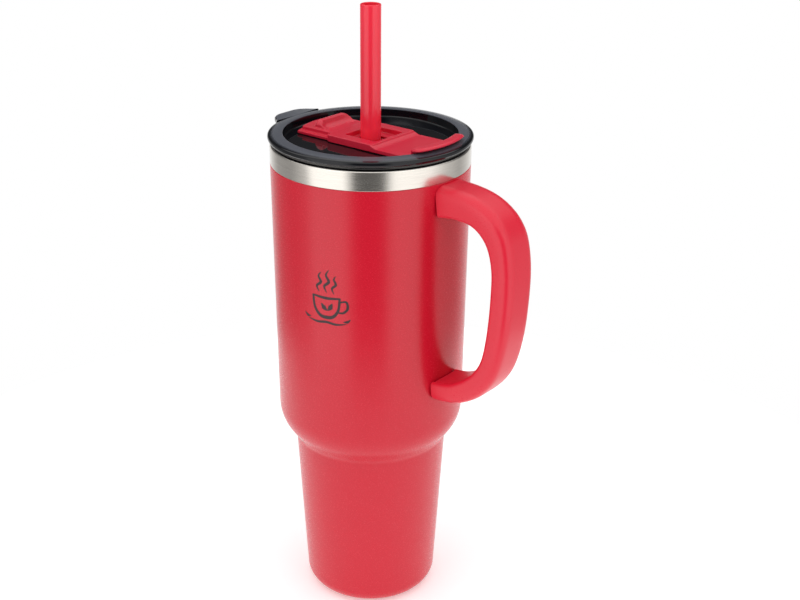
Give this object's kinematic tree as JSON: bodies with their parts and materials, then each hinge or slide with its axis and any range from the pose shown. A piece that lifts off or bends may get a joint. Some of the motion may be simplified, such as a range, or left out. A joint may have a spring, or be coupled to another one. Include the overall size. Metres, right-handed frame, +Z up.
{
  "type": "insulated travel mug",
  "caption": "Tall double-walled steel tumbler with a narrow lower part for a cup holder, loop side handle, press-in lid with sliding closure, and a straw.",
  "frame": {"origin": "centre of the base, on the surface it stands on", "axes": "+Z up the mug's axis, +X towards the handle and along the closure's slide"},
  "size_m": [0.1503, 0.102, 0.3197],
  "materials": {
    "powder_coat": "satin powder coat, fine texture",
    "brushed_steel": "brushed stainless",
    "plain_steel": "mill finish stainless",
    "red_plastic": "satin moulded plastic",
    "straw_plastic": "semi-gloss",
    "black_plastic": "gloss black",
    "silicone": "matt silicone"
  },
  "bodies": {
    "mug": {"outer_shell": "powder_coat", "inner_liner": "brushed_steel", "liner_bottom": "plain_steel", "outer_bottom": "plain_steel", "vacuum_seal": "plain_steel", "getter": "plain_steel", "base_cap": "powder_coat", "handle_body": "red_plastic", "handle_insert": "red_plastic", "bracket_upper": "plain_steel", "bracket_lower": "plain_steel", "screw_upper": "plain_steel", "screw_lower": "plain_steel"},
    "lid": {"lid_body": "black_plastic", "lid_gasket": "silicone", "straw_grommet": "silicone"},
    "closure": {"closure_slider": "red_plastic", "sip_seal": "silicone"},
    "straw": {"straw": "straw_plastic"}
  },
  "joints": [
    {"name": "lid_lift", "type": "slide", "parent": "mug", "child": "lid", "axis": [0, 0, 1], "range_m": [0, 0.1]},
    {"name": "closure_slide", "type": "slide", "parent": "lid", "child": "closure", "axis": [1, 0, 0], "range_m": [-0.005, 0]},
    {"name": "straw_pull", "type": "slide", "parent": "lid", "child": "straw", "axis": [0, 0, 1], "range_m": [0, 0.31]}
  ]
}
